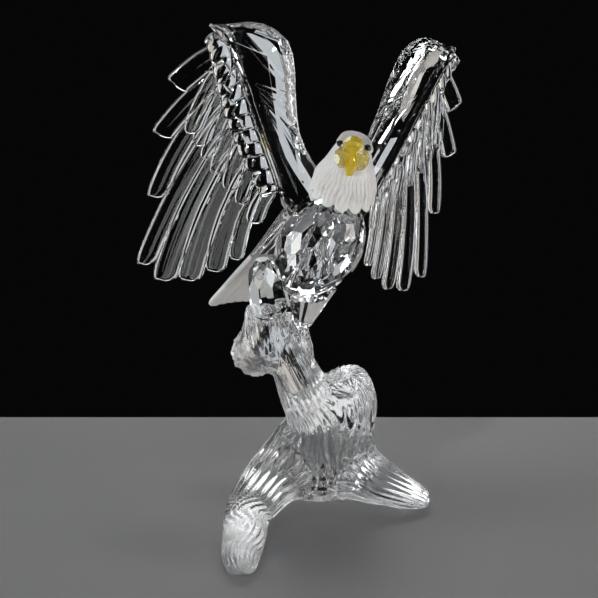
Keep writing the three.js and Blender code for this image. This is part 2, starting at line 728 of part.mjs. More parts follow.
function stumpGeometry() {
  const pieces = [
    barkTube(TRUNK, { twist: 0.5 }),
    barkTube(RIGHT_STUB, { ragged: 1.0 }),
    barkTube(LEFT_BRANCH, { sides: 12, ragged: 0.9 }),
    barkTube(FRONT_ROOT, { twist: 0.2 }),
    barkTube(RIGHT_ROOT, { twist: 0.2, sides: 14 }),
    barkTube(BACK_ROOT, { sides: 10 }),
    barkTube(RIGHT_FOOT, { sides: 16, depth: 0.05 }),
    barkTube(LEFT_FOOT, { sides: 10, depth: 0 }),
    ...TOES.map((toe) => barkTube(toe, { sides: 7, depth: 0 })),
  ];
  const floor = new THREE.BoxGeometry(400, 400, 40).translate(0, 0, -20);
  let solid = pieces.map((g) => solidOf(g)).reduce((a, b) => a.add(b));
  solid = solid.subtract(solidOf(floor));
  solid = solid.subtract(solidOf(rightThighStone(GLUE_GAP), rightThighFrame, eagle));
  solid = solid.subtract(solidOf(leftThighStone(GLUE_GAP), leftThighFrame, eagle));
  solid = solid.subtract(seatIn(eagle));
  return solidGeometry(largestPiece(solid));
}

function add(parent, name, geometry, material) {
  geometry.computeVertexNormals();
  const mesh = new THREE.Mesh(geometry, material);
  mesh.name = name;
  parent.add(mesh);
  return mesh;
}

add(eagle, "stump", stumpGeometry(), clear);
add(bodyFrame, "body", bodyStone, clear);
add(neckFrame, "head", headGeometry, frosted);
add(faceFrame, "beak", beakGeometry(0), yellow);
add(faceFrame, "right_eye", eyeGeometry(0), black).position.copy(eyeAt(-1));
add(faceFrame, "left_eye", eyeGeometry(0), black).position.copy(eyeAt(1));
add(tailFrame, "tail", tailGeometry, frosted);
add(rightThighFrame, "right_thigh", rightThighGeometry, clear);
add(leftThighFrame, "left_thigh", leftThighGeometry, clear);
add(leftWing, "left_wing_arm", armGeometry, clear);
add(rightWing, "right_wing_arm", armGeometry.clone(), clear);
add(leftWing, "left_wing_feathers", panelGeometry, clear);
add(rightWing, "right_wing_feathers", panelGeometry.clone(), clear);

export default eagle;
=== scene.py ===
"""Looks of a cut-crystal eagle that lands on a pressed-glass tree stump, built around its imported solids."""

import json
import math

import bpy
import numpy as np
from bpy.props import FloatProperty, FloatVectorProperty, IntProperty, PointerProperty
from mathutils import Matrix, Vector, noise

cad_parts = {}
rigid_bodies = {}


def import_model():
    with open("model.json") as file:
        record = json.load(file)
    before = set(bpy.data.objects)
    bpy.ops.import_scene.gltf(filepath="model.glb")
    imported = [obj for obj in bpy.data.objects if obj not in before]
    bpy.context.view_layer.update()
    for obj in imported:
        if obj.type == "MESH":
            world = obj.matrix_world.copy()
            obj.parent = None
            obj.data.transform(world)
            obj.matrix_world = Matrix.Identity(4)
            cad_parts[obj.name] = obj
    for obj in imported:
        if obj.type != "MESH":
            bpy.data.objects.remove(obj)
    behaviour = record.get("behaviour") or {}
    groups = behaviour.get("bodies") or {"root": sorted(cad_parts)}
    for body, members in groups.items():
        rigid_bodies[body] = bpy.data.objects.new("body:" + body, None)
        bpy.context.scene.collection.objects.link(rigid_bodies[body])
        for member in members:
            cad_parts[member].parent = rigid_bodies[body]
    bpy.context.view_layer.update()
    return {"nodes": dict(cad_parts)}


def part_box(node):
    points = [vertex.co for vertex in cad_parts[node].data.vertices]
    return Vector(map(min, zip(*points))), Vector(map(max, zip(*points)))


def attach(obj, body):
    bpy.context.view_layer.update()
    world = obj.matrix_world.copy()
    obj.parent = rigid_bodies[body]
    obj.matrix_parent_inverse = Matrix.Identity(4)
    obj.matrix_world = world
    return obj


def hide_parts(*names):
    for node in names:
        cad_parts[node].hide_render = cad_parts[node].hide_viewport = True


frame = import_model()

bl_info = {
    "name": "Crystal eagle figurine",
    "version": (1, 0, 0),
    "blender": (4, 5, 0),
    "location": "3D Viewport > Sidebar > Crystal eagle",
    "description": "Dresses the solids of a cut-crystal eagle on a glass stump",
    "category": "Object",
}

MM = 0.001
GLUE_GAP = 0.3

# The frames of the pieces, in millimetres, as the solids have them.
BIRD_CENTRE = (-2.3, -26.0, 97.3)
BIRD_YAW, BIRD_ROLL = 21.5, 9.9
SHOULDER_HALF_WIDTH = 7.0
WING_SWEEP, WING_TILT = 27.0, 3.4
HEM_CENTRE = (-0.1, -12.4, 22.4)
NECK_TILT_FORWARD, NECK_TILT_SIDE = 17.5, -3.0
FACE_HEIGHT, FACE_ROLL, HEAD_TURN = 16.6, -7.0, -25.0
BROW_ANGLE = 52.0
TAIL_ROOT = (-0.6, 14.4, 2.4)
TAIL_SLOPE = 51.5
# How far from its root the tail is clear and polished.
CLEAR_TAIL_ROOT = 15.0


def shift(x, y, z):
    return Matrix.Translation((x, y, z))


def turn(axis, degrees):
    return Matrix.Rotation(math.radians(degrees), 4, axis)


BIRD = shift(*BIRD_CENTRE) @ turn("Z", BIRD_YAW) @ turn("Y", BIRD_ROLL)
WING = shift(SHOULDER_HALF_WIDTH, 0, 0) @ turn("Z", WING_SWEEP) @ turn("X", WING_TILT)
LEFT_WING = BIRD @ WING
RIGHT_WING = BIRD @ Matrix.Diagonal((-1, 1, 1, 1)) @ WING
NECK = BIRD @ shift(*HEM_CENTRE) @ turn("X", NECK_TILT_FORWARD) @ turn("Y", NECK_TILT_SIDE)
FACE = NECK @ shift(0, 0, FACE_HEIGHT) @ turn("Y", FACE_ROLL) @ turn("Z", HEAD_TURN)
TAIL = BIRD @ shift(*TAIL_ROOT) @ turn("X", -90 - TAIL_SLOPE)

# Long feathers of one wing, in its plane: the outer edge's root, bend and tip, the width, the share of it
# by which the rounded tip leans in from that edge, and how far behind the plane the feather lies.
PRIMARIES = (
    ((32, 66), (42.5, 58.2), (49.8, 48.2), 8.0, 0.10, 1.00),
    ((32, 57), (43.0, 48.0), (52.2, 30.3), 7.2, 0.10, 0.85),
    ((31, 51), (45.6, 36.0), (51.0, 8.4), 6.8, 0.10, 0.70),
    ((29, 47), (44.2, 20.0), (51.5, -15.0), 6.8, 0.15, 0.55),
    ((27, 42), (42.2, 11.0), (45.4, -19.8), 8.4, 0.15, 0.40),
    ((24, 36), (35.8, 10.0), (37.6, -18.6), 8.6, 0.25, 0.25),
    ((20, 30), (28.8, 10.0), (29.2, -14.0), 7.6, 0.30, 0.10),
    ((16, 23), (22.4, 8.0), (21.8, -8.6), 5.6, 0.40, 0.00),
)
# Short feathers over their roots, given the same way.
COVERTS = (
    ((34.5, 60), (39.8, 46), (42.6, 32.0), 6.0, 0.3, -1.5),
    ((32.5, 53), (37.0, 40), (39.2, 28.4), 5.6, 0.3, -1.6),
    ((30.0, 47), (34.0, 36), (36.0, 24.2), 5.2, 0.3, -1.7),
    ((27.4, 41), (31.0, 31), (32.4, 20.0), 5.6, 0.3, -1.8),
    ((24.0, 34.6), (27.2, 26), (27.4, 15.2), 6.4, 0.3, -1.9),
    ((20.0, 27.6), (22.4, 19.6), (22.6, 11.2), 5.2, 0.3, -2.0),
    ((13.6, 19.6), (17.6, 14), (18.0, 5.8), 6.2, 0.3, -2.1),
)
# The two long sides of the strip between the arm and the feathers, from the wing's tip to the body.
STRIP_ARM_SIDE = ((38.0, 65.0), (31.6, 61.4), (25.8, 51.2), (19.4, 38.4), (13.8, 28.2), (8.2, 17.6))
STRIP_FEATHER_SIDE = ((39.0, 63.6), (36.0, 57.4), (31.0, 44.8), (26.4, 35.6), (20.2, 25.0), (13.0, 14.8))
# The middle of the bevel behind the arm, from the wing's tip round the shoulder to the body.
ARM_BACK_EDGE = (
    (32.0, 67.0), (27.0, 68.2), (22.0, 68.0), (18.0, 66.4), (15.0, 63.8), (13.2, 60.0), (12.0, 55.0),
    (10.9, 49.5), (9.6, 43.5), (7.8, 37.5), (5.4, 32.5), (2.6, 28.4),
)
# That bevel's slope, and how far its middle lies behind the wing's plane.
BACK_BEVEL, BACK_BEVEL_MIDDLE = math.radians(22.0), 2.9
# The scoops' radii along the edge, off the plane and across the bevel, and how unevenly they are spaced.
SCOOP_RADII = (5.6, 8.0, 8.0)
SCOOP_UNEVENNESS = 0.16
# How far the feathers curl forward, at the reach past the start, measured out along the wing.
WING_CURL, WING_CURL_START, WING_CURL_REACH = 2.6, 28.0, 22.0
# The width of a feather's rounded rim, its share of its width at the root and what it gains by this length.
FEATHER_RIM = 0.9
ROOT_WIDTH, ROOT_GAIN, ROOT_LENGTH = 0.80, 0.20, 0.6
# How much lower a feather's face is at its sides, how much thinner its tip, and where its shaft groove runs.
FACE_CROWN, TIP_THINNING = 0.14, 0.3
SHAFT_PLACE, SHAFT_WIDTH = 0.42, 0.11
# How far behind the wing's plane the strip lies, its half thickness in a pinch and what a cushion adds.
STRIP_LIFT, STRIP_HALF, STRIP_SWELL = -1.5, 2.2, 0.65

# The cape and head: height above the hem's middle and radius, from the hem to the crown.
HEAD_PROFILE = ((-0.6, 10.9), (2.4, 10.6), (6.0, 9.7), (9.4, 8.4), (12.6, 7.1), (15.4, 6.0), (17.6, 5.35),
                (18.8, 5.2), (19.7, 4.9), (20.0, 3.9), (20.2, 0.0))
# The share of the head's skin that closes it under the hem.
HEM_SHARE = 0.12
# How far the brows swell, how wide each is, in radians, and how high they lie.
BROW_SWELL, BROW_WIDTH, BROW_HEIGHT = 0.33, 0.45, 19.3
BEAK_GAP, EYE_GAP = 0.2, 0.1

# The tail's feathers: how wide, from where to where along the fan, and half the fan's width at both ends.
TAIL_FEATHER_WIDTH = 5.4
TAIL_ROOT_END, TAIL_TIP_END = -7.0, 44.6
TAIL_ROOT_HALF, TAIL_TIP_HALF = 7.4, 19.4 - 1.9
# How far the outermost feathers lie behind the middle one, and how far their tips pass it.
TAIL_ARCH, TAIL_TIP_ARCH = 2.4, 0.9
# The wedge under the tail's feathers, and half its width and what that gains along it.
WEDGE_START, WEDGE_LENGTH = -8, 30
WEDGE_HALF, WEDGE_SPREAD = 8.2, 4.0

# The stump's limbs: x, y, z and radius along each.
LIMBS = {
    "trunk": ((-1, 2, -6, 12.5), (-1, 0, 8, 13.5), (-0.5, -5, 20, 13.5), (-1, -9, 31, 11.6),
              (-5.6, -12.2, 40, 8.9), (-9.4, -15.2, 50, 7.4), (-12.4, -18.2, 59, 6.8),
              (-14.2, -20.4, 66.5, 5.0)),
    "right_stub": ((5, -6, 24, 12), (8.4, -10.5, 34, 10.0), (8.0, -12.4, 42, 9.2), (6.2, -13.6, 47.6, 6.6)),
    "left_branch": ((-15.5, -21, 72, 5), (-18.5, -19.6, 65, 7.6), (-22.6, -17.4, 57.6, 7.9),
                    (-27.0, -15.8, 52, 5.4)),
    "front_root": ((-6, -3, 15, 12), (-18.0, -19.6, 10.4, 9.5), (-24.8, -36, 7.2, 7.7),
                   (-26.0, -49, 4.8, 7.2), (-27.0, -60, 2.6, 6.3), (-26.8, -68.8, 0.4, 3.8)),
    "right_root": ((5, -3, 14, 12.5), (14.5, -7.2, 8, 9.4), (24, -11.6, 4.6, 7.0), (31.5, -14.0, 2.2, 5.4),
                   (36, -14.6, 0.2, 3.0)),
    "back_root": ((-1, 4, 14, 12), (2, 15, 8, 9.4), (5, 24, 4, 6.4), (7, 30, 0.8, 3.4)),
    "right_foot": ((-19.8, -22.0, 76.6, 3.4), (-19.6, -22.0, 73.4, 6.2), (-19.2, -21.6, 68.4, 6.4),
                   (-18.2, -20.8, 62, 4.6)),
    "left_foot": ((-9.2, -21.2, 72, 3.0), (-9.0, -21.0, 69.6, 4.0), (-8.7, -20.0, 62.6, 3.9),
                  (-8.0, -19.4, 58.4, 3.4)),
    "toe_1": ((-6.6, -19.4, 60, 2.2), (-6.4, -19.2, 54, 2.1), (-7.0, -17.2, 47.4, 1.7)),
    "toe_2": ((-9.4, -20.2, 60, 2.2), (-9.2, -20.4, 54, 2.1), (-9.6, -18.6, 47.4, 1.7)),
    "toe_3": ((-17.6, -22.6, 63, 3.6), (-18.4, -22.8, 57.4, 3.4), (-18.8, -21.6, 53, 2.2)),
}
# How far a limb's round end reaches from where its axis is trimmed, and how far past its last station.
END_ROUNDING, END_REACH = 3.2, 0.4
# How many points of a limb's axis its distance is measured from.
AXIS_POINTS = 60
# How softly the limbs flow into each other, in millimetres, at these heights.
JOIN_HEIGHTS, JOIN_SOFTNESS = (18.0, 38.0), (2.8, 1.5)
# How often the skin is drawn onto the limbs, and how far each time at most.
SKIN_PASSES, SKIN_STEP = 2, 2.5
# How far apart two limbs' bark still blends, in millimetres.
BARK_BLEND = 2.2
# How far the flutes wander and split, in radians, the share of their depth that they have all round, and the
# share that is added in front.
FLUTE_WANDER, FLUTE_SPLIT = 3.6, 1.6
FLUTE_ROUND, FLUTE_FRONT = 0.3, 0.7
# How many bark flutes run round each limb, and how deep they are.
FLUTES = {
    "trunk": (24, 0.85), "right_stub": (18, 0.75), "left_branch": (11, 0.5), "front_root": (18, 0.9),
    "right_root": (21, 0.85), "back_root": (16, 0.6), "right_foot": (22, 0.9), "left_foot": (8, 0.3),
    "toe_1": (6, 0.05), "toe_2": (6, 0.05), "toe_3": (9, 0.2),
}
# The middle of the left branch's rough broken end, and how far the roughness reaches.
BROKEN_BRANCH, BROKEN_REACH = (-25.0, -16.5, 55.0), 12
# The hollow broken out of the stub: its middle and radii.
HOLLOW_MIDDLE, HOLLOW_RADII = (6.0, -22.5, 47.5), (8.0, 6.2, 6.0)
# Scallops broken out of the stub's rim: x, y, z and radius.
RIM_BREAKS = ((-2.2, -20.0, 54.6, 2.6), (3.4, -19.6, 55.8, 2.7), (9.0, -19.2, 54.6, 2.7),
              (13.6, -18.2, 50.4, 2.9), (17.2, -16.2, 45.4, 2.9))
# The cell of the voxels that join the limbs, in metres, and how often the joined skin is smoothed.
SKIN_CELL, SKIN_SMOOTHING = 0.00042, 6
# A face of the stump this low and this level belongs to its ground underside.
UNDERSIDE_HEIGHT, UNDERSIDE_SLOPE = 0.0001, -0.99

# The stage, in metres: what the camera and the boxes look at, what the spots look at, and the table top.
LOOK_AT = (-0.008, -0.028, 0.080)
SPOT_AIM = (-0.008, -0.035, 0.122)
TABLE_PLACE, TABLE_THICKNESS = (-0.008, -0.022, -0.0022), 0.004
# Soft boxes: name, place, width, height, watts and tint.
BOXES = (
    ("left far box", (-0.72, 2.0, -0.55), 0.76, 1.70, 2.3, (0.92, 0.965, 1.0)),
    ("right far box", (0.72, 2.0, -0.55), 0.76, 1.70, 2.3, (1.0, 0.95, 0.88)),
    ("top back box", (0.0, 0.62, 0.42), 0.60, 0.16, 0.8, (1, 1, 1)),
    ("left box", (-0.62, 0.02, -0.05), 0.24, 0.60, 2.6, (0.92, 0.97, 1.0)),
    ("right box", (0.58, -0.22, -0.05), 0.24, 0.60, 2.0, (1.0, 0.97, 0.94)),
    ("top box", (0.0, 0.05, 0.72), 0.30, 0.15, 0.5, (1, 1, 1)),
    ("left front strip", (-0.38, -0.66, 0.05), 0.14, 0.80, 0.55, (1, 1, 1)),
    ("right front strip", (0.46, -0.60, 0.05), 0.07, 0.80, 0.8, (1, 1, 1)),
)
# Light from the table top under the roots: name, x, y, length, width, heading and share of the glow.
GLOWS = (
    ("front root glow", -25.2, -46, 44, 11, 84, 1.0),
    ("web glow", -14, -17, 26, 16, 60, 1.3),
    ("middle glow", 0, 0, 25, 19, 0, 0.6),
    ("right root glow", 20, -10.5, 32, 10, -16, 1.3),
)
GLOW_DEPTH = -0.0001
# Narrow lights on the bird: name, place and watts.
SPOTS = (("left key", (-0.45, -0.75, 0.42), 12.0), ("right key", (0.35, -0.85, 0.40), 5.0))
SPOT_ANGLE = 9.5
BOUNCES, GLOSSY_BOUNCES = 24, 12
# The Mix node's colour sockets, which share their names with its other sockets.
COLOUR_A, COLOUR_B, COLOUR_OUT = 6, 7, 2


class EagleSizes(bpy.types.PropertyGroup):
    """Sizes of the pieces' fine carving."""

    blade_thickness: FloatProperty(
        name="Long feather", description="Half the thickness of a long feather, in millimetres", default=1.1,
        min=0.5)
    covert_thickness: FloatProperty(
        name="Short feather", description="Half the thickness of a short feather, in millimetres",
        default=1.25, min=0.5)
    shaft_depth: FloatProperty(
        name="Shaft groove", description="Depth of the groove along a feather's shaft, in millimetres",
        default=0.22, min=0)
    scoop_spacing: FloatProperty(
        name="Scoop spacing", description="Distance between the scoops behind a wing's arm, in millimetres",
        default=3.9, min=1)
    scoop_depth: FloatProperty(
        name="Scoop depth", description="Depth of the scoops behind a wing's arm, in millimetres",
        default=0.5, min=0)
    strip_ribs: IntProperty(
        name="Strip cushions", description="Cushions along the strip by each wing's arm", default=13, min=3)
    cape_feathers: IntProperty(
        name="Cape feathers", description="Feather tips round the hem of the cape", default=13, min=5)
    cape_flute: FloatProperty(
        name="Cape flute", description="Depth of the flutes on the cape, in millimetres", default=1.15, min=0)
    tail_feathers: IntProperty(
        name="Tail feathers", description="Feathers side by side in the tail", default=11, min=3)
    tail_thickness: FloatProperty(
        name="Tail feather", description="Half the thickness of a tail feather, in millimetres", default=1.5,
        min=0.5)
    bark_flute: FloatProperty(
        name="Bark flute", description="How many times their usual depth the bark's grooves have",
        default=1.0, min=0)


class EagleColours(bpy.types.PropertyGroup):
    """Colours of the glass and of the stage."""

    clear: FloatVectorProperty(
        name="Clear crystal", description="Tint of the clear crystal", subtype="COLOR", size=4,
        default=(0.97, 0.98, 0.99, 1.0), min=0, max=1)
    frosted: FloatVectorProperty(
        name="Frosted crystal", description="Colour of the etched glass", subtype="COLOR", size=4,
        default=(0.90, 0.89, 0.87, 1.0), min=0, max=1)
    yellow: FloatVectorProperty(
        name="Yellow crystal", description="Colour of the beak", subtype="COLOR", size=4,
        default=(1.0, 0.80, 0.12, 1.0), min=0, max=1)
    pale_yellow: FloatVectorProperty(
        name="Pale yellow crystal", description="Colour of the beak's cheeks", subtype="COLOR", size=4,
        default=(1.0, 0.92, 0.42, 1.0), min=0, max=1)
    black: FloatVectorProperty(
        name="Black glass", description="Colour of the eyes", subtype="COLOR", size=4,
        default=(0.012, 0.012, 0.015, 1.0), min=0, max=1)
    floor: FloatVectorProperty(
        name="Table", description="Colour of the table top", subtype="COLOR", size=4,
        default=(0.50, 0.50, 0.51, 1.0), min=0, max=1)


class EagleStudio(bpy.types.PropertyGroup):
    """The camera and the lights."""

    elevation: FloatProperty(
        name="Camera height", description="Angle of the camera above the table, in degrees", default=20.0,
        min=0, max=90)
    distance: FloatProperty(
        name="Camera distance", description="Distance from the camera to the middle of the object",
        default=0.8, subtype="DISTANCE", unit="LENGTH")
    lens: FloatProperty(name="Lens", description="Focal length, in millimetres", default=146.9, unit="CAMERA")
    table_width: FloatProperty(
        name="Table width", description="Width of the table top", default=0.25, subtype="DISTANCE",
        unit="LENGTH")
    table_depth: FloatProperty(
        name="Table depth", description="Depth of the table top", default=0.17, subtype="DISTANCE",
        unit="LENGTH")
    glow: FloatProperty(
        name="Glow", description="Brightness of the table under the glass roots", default=1.2, min=0)
    light: FloatProperty(
        name="Light", description="Strength of the boxes and spots together", default=1.0, min=0)


def sizes():
    return bpy.context.scene.eagle_sizes


def colours():
    return bpy.context.scene.eagle_colours


# Materials


def shader_material(name, **values):
    """A material whose Principled shader has these plain values on its sockets."""
    made = bpy.data.materials.new(name)
    made.use_nodes = True
    shader = made.node_tree.nodes["Principled BSDF"]
    for key, value in values.items():
        shader.inputs[key.replace("_", " ")].default_value = value
    return made, made.node_tree, shader


def skin_group():
    """A small unevenness of a skin, for Normal, built once and used with each material's own values."""
    found = bpy.data.node_groups.get("glass skin")
    if found:
        return found
    group = bpy.data.node_groups.new("glass skin", "ShaderNodeTree")
    face = group.interface
    for label, default in (("Scale", 200.0), ("Strength", 0.1), ("Distance", 0.0002)):
        socket = face.new_socket(name=label, in_out="INPUT", socket_type="NodeSocketFloat")
        socket.default_value = default
    face.new_socket(name="Normal", in_out="OUTPUT", socket_type="NodeSocketVector")
    nodes, links = group.nodes, group.links
    inside, outside = nodes.new("NodeGroupInput"), nodes.new("NodeGroupOutput")
    place = nodes.new("ShaderNodeTexCoord")
    patches = nodes.new("ShaderNodeTexNoise")
    patches.inputs["Detail"].default_value = 3.0
    bump = nodes.new("ShaderNodeBump")
    links.new(place.outputs["Object"], patches.inputs["Vector"])
    links.new(inside.outputs["Scale"], patches.inputs["Scale"])
    links.new(inside.outputs["Strength"], bump.inputs["Strength"])
    links.new(inside.outputs["Distance"], bump.inputs["Distance"])
    links.new(patches.outputs["Fac"], bump.inputs["Height"])
    links.new(bump.outputs["Normal"], outside.inputs["Normal"])
    return group


def add_skin(tree, shader, scale, strength, distance):
    """Puts the unevenness of a skin on a material's Normal."""
    skin = tree.nodes.new("ShaderNodeGroup")
    skin.node_tree = skin_group()
    skin.inputs["Scale"].default_value = scale
    skin.inputs["Strength"].default_value = strength
    skin.inputs["Distance"].default_value = distance
    tree.links.new(skin.outputs["Normal"], shader.inputs["Normal"])


def cut_crystal():
    """Clear polished crystal."""
    found = bpy.data.materials.get("cut crystal")
    if found:
        return found
    made, tree, shader = shader_material(
        "cut crystal", Base_Color=colours().clear, Roughness=0.0, IOR=1.56, Transmission_Weight=1.0)
    add_skin(tree, shader, scale=90.0, strength=0.1, distance=0.0001)
    return made


def pressed_crystal():
    """Clear pressed glass, dull round the left branch's rough break."""
    found = bpy.data.materials.get("pressed crystal")
    if found:
        return found
    made, tree, shader = shader_material(
        "pressed crystal", Base_Color=colours().clear, Roughness=0.0, IOR=1.54, Transmission_Weight=1.0)
    add_skin(tree, shader, scale=160.0, strength=0.08, distance=0.0003)
    place = tree.nodes.new("ShaderNodeTexCoord")
    reach = tree.nodes.new("ShaderNodeVectorMath")
    reach.operation = "DISTANCE"
    reach.inputs[1].default_value = [c * MM for c in BROKEN_BRANCH]
    dull = tree.nodes.new("ShaderNodeMapRange")
    for label, value in (("From Min", 0.009), ("From Max", 0.015), ("To Min", 0.30), ("To Max", 0.0)):
        dull.inputs[label].default_value = value
    tree.links.new(place.outputs["Object"], reach.inputs[0])
    tree.links.new(reach.outputs["Value"], dull.inputs["Value"])
    tree.links.new(dull.outputs["Result"], shader.inputs["Roughness"])
    return made


def ground_glass():
    """The stump's flat underside, ground and left matt."""
    found = bpy.data.materials.get("ground glass")
    if found:
        return found
    made, tree, shader = shader_material(
        "ground glass", Base_Color=colours().clear, Roughness=0.55, IOR=1.54, Transmission_Weight=1.0)
    add_skin(tree, shader, scale=2600.0, strength=0.3, distance=0.0001)
    return made


def frosted_crystal():
    """White etched glass."""
    found = bpy.data.materials.get("frosted crystal")
    if found:
        return found
    made, tree, shader = shader_material(
        "frosted crystal", Base_Color=colours().frosted, Roughness=0.5, IOR=1.5, Transmission_Weight=0.2,
        Subsurface_Weight=0.15, Subsurface_Scale=0.002)
    add_skin(tree, shader, scale=2200.0, strength=0.25, distance=0.0001)
    return made


def yellow_crystal():
    """The beak's yellow crystal, paler out on the cheeks."""
    found = bpy.data.materials.get("yellow crystal")
    if found:
        return found
    made, tree, shader = shader_material(
        "yellow crystal", Base_Color=colours().yellow, Roughness=0.03, IOR=1.52, Transmission_Weight=0.72)
    place = tree.nodes.new("ShaderNodeTexCoord")
    face = tree.nodes.new("ShaderNodeMapping")
    face.vector_type = "TEXTURE"
    face.inputs["Location"].default_value = FACE.translation * MM
    face.inputs["Rotation"].default_value = FACE.to_euler()
    sides = tree.nodes.new("ShaderNodeSeparateXYZ")
    out = tree.nodes.new("ShaderNodeMath")
    out.operation = "ABSOLUTE"
    pale = tree.nodes.new("ShaderNodeMapRange")
    for label, value in (("From Min", 0.0016), ("From Max", 0.0032)):
        pale.inputs[label].default_value = value
    mix = tree.nodes.new("ShaderNodeMix")
    mix.data_type = "RGBA"
    mix.inputs[COLOUR_A].default_value = colours().yellow
    mix.inputs[COLOUR_B].default_value = colours().pale_yellow
    tree.links.new(place.outputs["Object"], face.inputs["Vector"])
    tree.links.new(face.outputs["Vector"], sides.inputs["Vector"])
    tree.links.new(sides.outputs["X"], out.inputs[0])
    tree.links.new(out.outputs["Value"], pale.inputs["Value"])
    tree.links.new(pale.outputs["Result"], mix.inputs["Factor"])
    tree.links.new(mix.outputs[COLOUR_OUT], shader.inputs["Base Color"])
    add_skin(tree, shader, scale=700.0, strength=0.15, distance=0.0002)
    return made


def black_glass():
    """The eyes' polished black glass."""
    found = bpy.data.materials.get("black glass")
    if found:
        return found
    made, tree, shader = shader_material("black glass", Base_Color=colours().black, Roughness=0.05, IOR=1.6)
    add_skin(tree, shader, scale=900.0, strength=0.03, distance=0.0001)
    return made


# Ways of making and finishing a mesh


def deselect():
    for thing in bpy.context.view_layer.objects:
        if thing.select_get():
            thing.select_set(False)


def choose(thing):
    deselect()
    thing.select_set(True)
    bpy.context.view_layer.objects.active = thing


def points_of(thing):
    flat = np.empty(len(thing.data.vertices) * 3)
    thing.data.vertices.foreach_get("co", flat)
    return flat.reshape(-1, 3)


def normals_of(thing):
    flat = np.empty(len(thing.data.vertices) * 3)
    thing.data.vertices.foreach_get("normal", flat)
    return flat.reshape(-1, 3)


def set_points(thing, points):
    thing.data.vertices.foreach_set("co", np.ascontiguousarray(points, dtype=np.float32).ravel())
    thing.data.update()


def carried(points, matrix):
    """Points in millimetres in a piece's frame, as metres in the row frame."""
    m = np.array(matrix)
    return (points @ m[:3, :3].T + m[:3, 3]) * MM


def ball(name, segments, rings):
    """A unit ball at the origin, a start that is then shaped."""
    deselect()
    bpy.ops.mesh.primitive_uv_sphere_add(segments=segments, ring_count=rings, radius=1.0, location=(0, 0, 0))
    thing = bpy.context.active_object
    thing.name = name
    thing.data.name = name
    return thing


def round_ball(thing):
    """Each vertex's share of the way from the ball's lower to its upper pole, and its angle round."""
    co = points_of(thing)
    return np.arccos(np.clip(-co[:, 2], -1, 1)) / np.pi, np.arctan2(co[:, 1], co[:, 0])


def outward(thing):
    """Merges what lies in one place and turns all faces outwards."""
    choose(thing)
    bpy.ops.object.mode_set(mode="EDIT")
    bpy.ops.mesh.select_all(action="SELECT")
    bpy.ops.mesh.remove_doubles(threshold=0.000001)
    bpy.ops.mesh.normals_make_consistent(inside=False)
    bpy.ops.object.mode_set(mode="OBJECT")


def egg(name, segments, rings, radii, centre):
    """A ball stretched to these radii about a centre, in millimetres."""
    thing = ball(name, segments, rings)
    set_points(thing, (points_of(thing) * radii + np.array(centre)) * MM)
    outward(thing)
    return thing


def apply(thing, kind, **values):
    """Gives a mesh a modifier with these values, for good."""
    choose(thing)
    modifier = thing.modifiers.new(kind.lower(), kind)
    for key, value in values.items():
        setattr(modifier, key, value)
    bpy.ops.object.modifier_apply(modifier=modifier.name)


def joined(things, name):
    deselect()
    for thing in things:
        thing.select_set(True)
    bpy.context.view_layer.objects.active = things[0]
    bpy.ops.object.join()
    things[0].name = name
    things[0].data.name = name
    return things[0]


def seat(node, grow, hull=False):
    """A merged copy of a CAD node, or its convex hull, grown by some millimetres, to cut a neighbour with."""
    thing = frame["nodes"][node].copy()
    thing.data = thing.data.copy()
    thing.parent = None
    bpy.context.collection.objects.link(thing)
    for key in list(thing.keys()):
        if key.startswith("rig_"):
            del thing[key]
    thing.hide_render = False
    thing.hide_viewport = False
    if hull:
        choose(thing)
        bpy.ops.object.mode_set(mode="EDIT")
        bpy.ops.mesh.select_all(action="SELECT")
        bpy.ops.mesh.convex_hull(use_existing_faces=False)
        bpy.ops.mesh.select_all(action="INVERT")
        bpy.ops.mesh.delete(type="VERT")
        bpy.ops.object.mode_set(mode="OBJECT")
    outward(thing)
    if grow:
        apply(thing, "DISPLACE", strength=grow * MM, mid_level=0.0)
    return thing


def cut(thing, *cutters):
    """Cuts a piece with each cutter, which is used up."""
    for cutter in cutters:
        apply(thing, "BOOLEAN", operation="DIFFERENCE", object=cutter, solver="MANIFOLD")
        bpy.data.objects.remove(cutter)


def fused_by_union(things, name):
    """One closed piece made of overlapping closed pieces, their own smooth faces kept."""
    whole = things[0]
    for other in things[1:]:
        apply(whole, "BOOLEAN", operation="UNION", object=other, solver="MANIFOLD")
        bpy.data.objects.remove(other)
    whole.name = name
    whole.data.name = name
    return whole


def drop_crumbs(thing):
    """Keeps the largest loose piece of a mesh."""
    choose(thing)
    before = set(bpy.context.view_layer.objects)
    bpy.ops.object.mode_set(mode="EDIT")
    bpy.ops.mesh.select_all(action="SELECT")
    bpy.ops.mesh.separate(type="LOOSE")
    bpy.ops.object.mode_set(mode="OBJECT")
    pieces = [thing] + [o for o in bpy.context.view_layer.objects if o not in before]
    largest = max(pieces, key=lambda o: len(o.data.vertices))
    if largest is not thing:
        thing.data, largest.data = largest.data, thing.data
    for crumb in pieces:
        if crumb is not thing:
            bpy.data.objects.remove(crumb)


def finished(thing, material, nodes, smooth=None):
    """Gives a piece its material and shading, in place of the nodes named, all on the one body."""
    thing.data.materials.clear()
    thing.data.materials.append(material)
    choose(thing)
    if smooth is None:
        bpy.ops.object.shade_smooth()
    else:
        bpy.ops.object.shade_smooth_by_angle(angle=math.radians(smooth))
    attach(thing, "root")
    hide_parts(*nodes)
    deselect()


